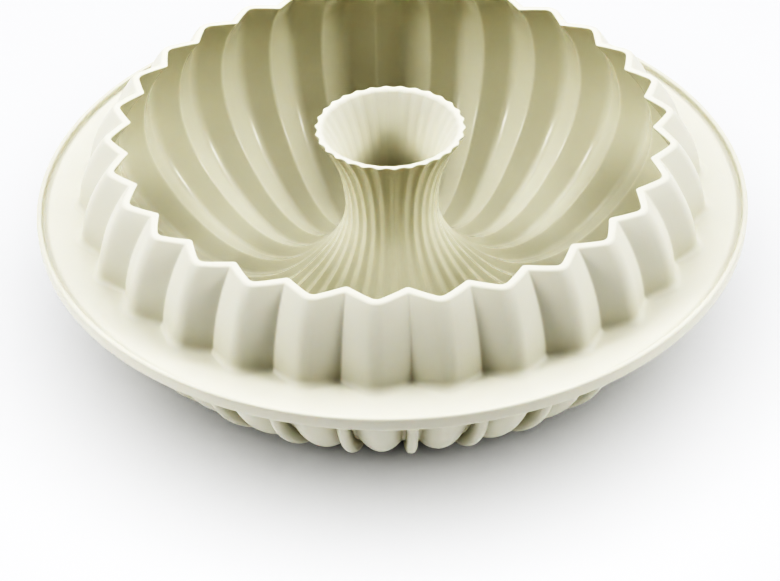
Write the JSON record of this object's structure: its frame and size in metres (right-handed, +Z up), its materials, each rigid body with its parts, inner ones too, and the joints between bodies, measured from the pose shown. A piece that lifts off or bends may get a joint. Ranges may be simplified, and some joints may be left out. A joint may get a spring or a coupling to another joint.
{
  "type": "silicone ring cake mould",
  "caption": "Fluted silicone ring cake mould with a zigzag rim, a flat flange with a raised lip, an open central chimney and support fins underneath.",
  "frame": {"origin": "on the ground under the middle of the ring", "axes": "+Z up along the chimney; a groove with its support fin lies on -Y"},
  "size_m": [0.254, 0.254, 0.0841],
  "materials": {
    "silicone": "satin cream silicone"
  },
  "bodies": {
    "root": {"fluted_collar": "silicone", "flange": "silicone", "edge_lip": "silicone", "fluted_bowl": "silicone", "chimney": "silicone", "support_fin_01": "silicone", "support_fin_02": "silicone", "support_fin_03": "silicone", "support_fin_04": "silicone", "support_fin_05": "silicone", "support_fin_06": "silicone", "support_fin_07": "silicone", "support_fin_08": "silicone", "support_fin_09": "silicone", "support_fin_10": "silicone", "support_fin_11": "silicone", "support_fin_12": "silicone", "support_fin_13": "silicone", "support_fin_14": "silicone", "support_fin_15": "silicone", "support_fin_16": "silicone", "support_fin_17": "silicone", "support_fin_18": "silicone", "support_fin_19": "silicone", "support_fin_20": "silicone", "support_fin_21": "silicone", "support_fin_22": "silicone", "support_fin_23": "silicone", "support_fin_24": "silicone", "support_fin_25": "silicone", "support_fin_26": "silicone", "support_fin_27": "silicone", "support_fin_28": "silicone", "support_fin_29": "silicone", "support_fin_30": "silicone"}
  },
  "joints": []
}
